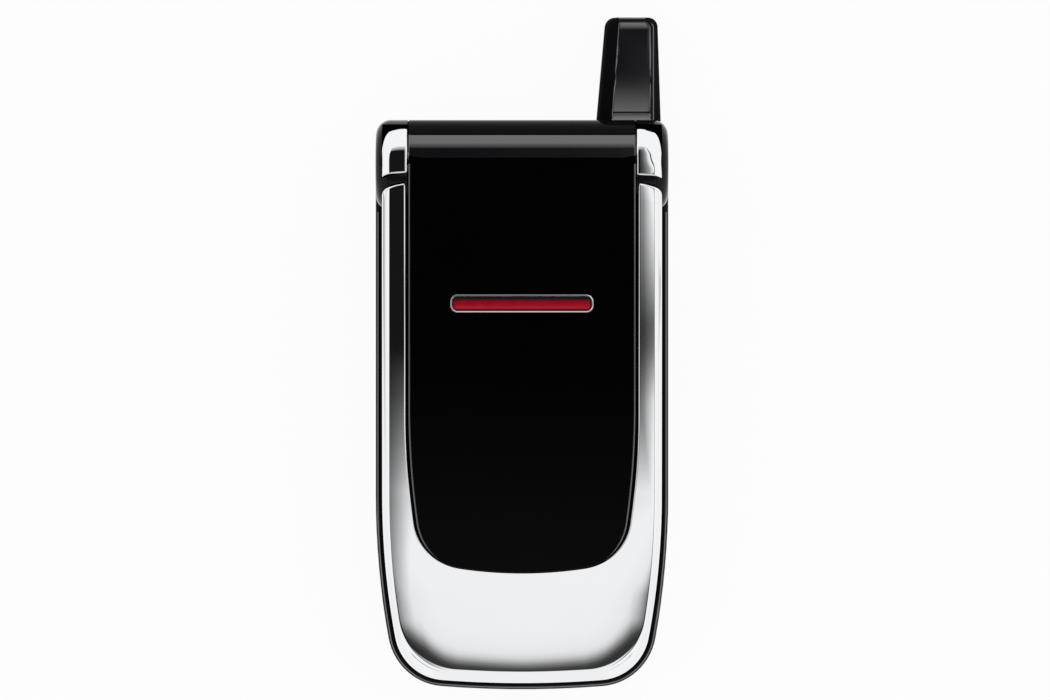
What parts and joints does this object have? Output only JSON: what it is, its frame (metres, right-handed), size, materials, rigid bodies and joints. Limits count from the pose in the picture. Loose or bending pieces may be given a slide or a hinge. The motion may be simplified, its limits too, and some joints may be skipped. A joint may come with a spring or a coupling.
{
  "type": "flip phone",
  "caption": "Closed clamshell phone with a chrome U-shaped lid frame, black window, red light bar and stub antenna; the lid opens on a barrel hinge over a keypad.",
  "frame": {"origin": "centre of the flat back face that the closed phone lies on, midway along the body without its antenna", "axes": "+Z is the thickness, out of the lid; +Y runs along the phone towards the hinge and the antenna; +X is to the right seen from above the lid, the antenna's side"},
  "size_m": [0.044, 0.1013, 0.0225],
  "materials": {
    "black_plastic": "piano gloss",
    "window_black": "mirror gloss",
    "chrome_trim": "polished",
    "red_lens": "polished, slightly translucent",
    "silver_keys": "satin metallic paint",
    "circuit_board": "solder mask",
    "steel": "satin",
    "inner_plastic": "matt",
    "rubber": "matt",
    "clear_film": "satin film",
    "flex_circuit": "satin film",
    "battery": "matt label over a metal can",
    "display_glass": "satin"
  },
  "bodies": {
    "body": {"rear_shell": "black_plastic", "keypad_fascia": "black_plastic", "hinge_caps": "chrome_trim", "antenna_cover": "black_plastic", "antenna_core": "steel", "main_board": "circuit_board", "shield_cans": "steel", "board_chips": "inner_plastic", "sim_holder": "steel", "dome_sheet": "clear_film", "keypad_mat": "rubber", "loudspeaker": "inner_plastic", "speaker_mesh": "steel", "vibration_motor": "steel", "charger_socket": "inner_plastic", "headset_socket": "inner_plastic", "microphone": "inner_plastic", "battery_connector": "inner_plastic", "battery_pack": "battery", "base_screws": "steel", "hinge_flex": "flex_circuit", "hinge_shaft": "steel"},
    "lid": {"lid_outer_shell": "black_plastic", "lid_front_frame": "chrome_trim", "lid_window": "window_black", "light_bar_ring": "chrome_trim", "light_bar_lens": "red_lens", "lid_inner_shell": "black_plastic", "display_lens": "window_black", "display_module": "display_glass", "lid_board": "circuit_board", "earpiece": "inner_plastic", "earpiece_mesh": "steel", "lid_magnet": "steel", "lid_bumpers": "rubber", "lid_screws": "steel", "hinge_cartridge": "steel", "hinge_bush": "inner_plastic"},
    "battery_cover": {"battery_cover": "black_plastic"},
    "cover_latch": {"cover_latch": "black_plastic"},
    "vibration_weight": {"vibration_weight": "steel"},
    "navigation_gimbal": {"navigation_gimbal": "steel"},
    "navigation_ring": {"navigation_ring": "chrome_trim"},
    "key_star": {"key_star": "silver_keys"},
    "key_0": {"key_0": "silver_keys"},
    "key_hash": {"key_hash": "silver_keys"},
    "key_7": {"key_7": "silver_keys"},
    "key_8": {"key_8": "silver_keys"},
    "key_9": {"key_9": "silver_keys"},
    "key_4": {"key_4": "silver_keys"},
    "key_5": {"key_5": "silver_keys"},
    "key_6": {"key_6": "silver_keys"},
    "key_1": {"key_1": "silver_keys"},
    "key_2": {"key_2": "silver_keys"},
    "key_3": {"key_3": "silver_keys"},
    "call_key": {"call_key": "silver_keys"},
    "end_key": {"end_key": "silver_keys"},
    "soft_key_left": {"soft_key_left": "silver_keys"},
    "soft_key_right": {"soft_key_right": "silver_keys"},
    "select_key": {"select_key": "silver_keys"}
  },
  "joints": [
    {"name": "lid_hinge", "type": "hinge", "parent": "body", "child": "lid", "pos_m": [0, 0.03595, 0.0157], "axis": [-1, 0, 0], "range_deg": [0, 155]},
    {"name": "battery_cover_slide", "type": "slide", "parent": "body", "child": "battery_cover", "axis": [0, -1, 0], "range_m": [0, 0.05]},
    {"name": "cover_latch_press", "type": "slide", "parent": "body", "child": "cover_latch", "axis": [0, 0, 1], "range_m": [0, 0.0008], "stiffness_N_per_m": 800},
    {"name": "vibration_spin", "type": "hinge", "parent": "body", "child": "vibration_weight", "pos_m": [0.0125, 0.0345, 0.0036], "axis": [1, 0, 0], "continuous": true},
    {"name": "navigation_left_right", "type": "hinge", "parent": "body", "child": "navigation_gimbal", "pos_m": [0, 0.0104, 0.0106], "axis": [0, 1, 0], "range_deg": [-2, 2], "stiffness_Nm_per_rad": 0.08},
    {"name": "navigation_up_down", "type": "hinge", "parent": "navigation_gimbal", "child": "navigation_ring", "pos_m": [0, 0.0104, 0.0109], "axis": [1, 0, 0], "range_deg": [-2, 2], "stiffness_Nm_per_rad": 0.08},
    {"name": "key_star_press", "type": "slide", "parent": "body", "child": "key_star", "axis": [0, 0, -1], "range_m": [0, 0.0004], "stiffness_N_per_m": 2000},
    {"name": "key_0_press", "type": "slide", "parent": "body", "child": "key_0", "axis": [0, 0, -1], "range_m": [0, 0.0004], "stiffness_N_per_m": 2000},
    {"name": "key_hash_press", "type": "slide", "parent": "body", "child": "key_hash", "axis": [0, 0, -1], "range_m": [0, 0.0004], "stiffness_N_per_m": 2000},
    {"name": "key_7_press", "type": "slide", "parent": "body", "child": "key_7", "axis": [0, 0, -1], "range_m": [0, 0.0004], "stiffness_N_per_m": 2000},
    {"name": "key_8_press", "type": "slide", "parent": "body", "child": "key_8", "axis": [0, 0, -1], "range_m": [0, 0.0004], "stiffness_N_per_m": 2000},
    {"name": "key_9_press", "type": "slide", "parent": "body", "child": "key_9", "axis": [0, 0, -1], "range_m": [0, 0.0004], "stiffness_N_per_m": 2000},
    {"name": "key_4_press", "type": "slide", "parent": "body", "child": "key_4", "axis": [0, 0, -1], "range_m": [0, 0.0004], "stiffness_N_per_m": 2000},
    {"name": "key_5_press", "type": "slide", "parent": "body", "child": "key_5", "axis": [0, 0, -1], "range_m": [0, 0.0004], "stiffness_N_per_m": 2000},
    {"name": "key_6_press", "type": "slide", "parent": "body", "child": "key_6", "axis": [0, 0, -1], "range_m": [0, 0.0004], "stiffness_N_per_m": 2000},
    {"name": "key_1_press", "type": "slide", "parent": "body", "child": "key_1", "axis": [0, 0, -1], "range_m": [0, 0.0004], "stiffness_N_per_m": 2000},
    {"name": "key_2_press", "type": "slide", "parent": "body", "child": "key_2", "axis": [0, 0, -1], "range_m": [0, 0.0004], "stiffness_N_per_m": 2000},
    {"name": "key_3_press", "type": "slide", "parent": "body", "child": "key_3", "axis": [0, 0, -1], "range_m": [0, 0.0004], "stiffness_N_per_m": 2000},
    {"name": "call_key_press", "type": "slide", "parent": "body", "child": "call_key", "axis": [0, 0, -1], "range_m": [0, 0.0004], "stiffness_N_per_m": 2000},
    {"name": "end_key_press", "type": "slide", "parent": "body", "child": "end_key", "axis": [0, 0, -1], "range_m": [0, 0.0004], "stiffness_N_per_m": 2000},
    {"name": "soft_key_left_press", "type": "slide", "parent": "body", "child": "soft_key_left", "axis": [0, 0, -1], "range_m": [0, 0.0004], "stiffness_N_per_m": 2000},
    {"name": "soft_key_right_press", "type": "slide", "parent": "body", "child": "soft_key_right", "axis": [0, 0, -1], "range_m": [0, 0.0004], "stiffness_N_per_m": 2000},
    {"name": "select_key_press", "type": "slide", "parent": "body", "child": "select_key", "axis": [0, 0, -1], "range_m": [0, 0.0004], "stiffness_N_per_m": 2000}
  ]
}
